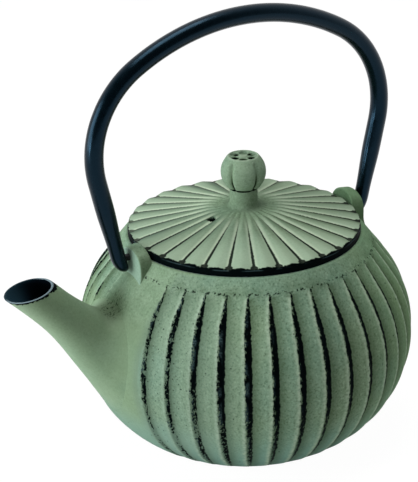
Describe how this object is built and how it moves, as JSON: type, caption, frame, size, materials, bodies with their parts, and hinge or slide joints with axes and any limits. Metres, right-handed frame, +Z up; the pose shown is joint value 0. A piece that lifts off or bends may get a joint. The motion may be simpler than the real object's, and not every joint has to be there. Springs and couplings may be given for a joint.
{
  "type": "cast iron teapot",
  "caption": "Round ribbed cast iron teapot with a short raised spout, a swinging bail handle, a fluted lift-off lid with a ball knob, and a hanging tea infuser.",
  "frame": {"origin": "middle of the flat base", "axes": "+Z up, spout towards -X, handle in the XZ plane"},
  "size_m": [0.2038, 0.1598, 0.2115],
  "materials": {
    "pot_iron": "matt sage green over black iron, rubbed dark in the grooves",
    "lid_iron": "matt sage green over black iron, bare black edge",
    "knob_iron": "matt sage green over black iron",
    "handle_enamel": "black enamel, semi-gloss",
    "pin_steel": "blackened steel",
    "infuser_steel": "bright pressed stainless sheet",
    "infuser_net": "fine stainless wire mesh",
    "screw_steel": "plain stainless"
  },
  "bodies": {
    "pot": {"pot_body": "pot_iron"},
    "handle": {"handle": "handle_enamel", "handle_pin_front": "pin_steel", "handle_pin_rear": "pin_steel"},
    "infuser": {"infuser_rim": "infuser_steel", "infuser_mesh": "infuser_net", "infuser_base": "infuser_steel"},
    "lid": {"lid": "lid_iron", "knob": "knob_iron", "knob_screw": "screw_steel", "knob_washer": "screw_steel"}
  },
  "joints": [
    {"name": "handle_swing", "type": "hinge", "parent": "pot", "child": "handle", "pos_m": [0, 0, 0.1032], "axis": [1, 0, 0], "range_deg": [-120, 120]},
    {"name": "infuser_lift", "type": "slide", "parent": "pot", "child": "infuser", "axis": [0, 0, 1], "range_m": [0, 0.058]},
    {"name": "lid_lift", "type": "slide", "parent": "infuser", "child": "lid", "axis": [0, 0, 1], "range_m": [0, 0.055]}
  ]
}
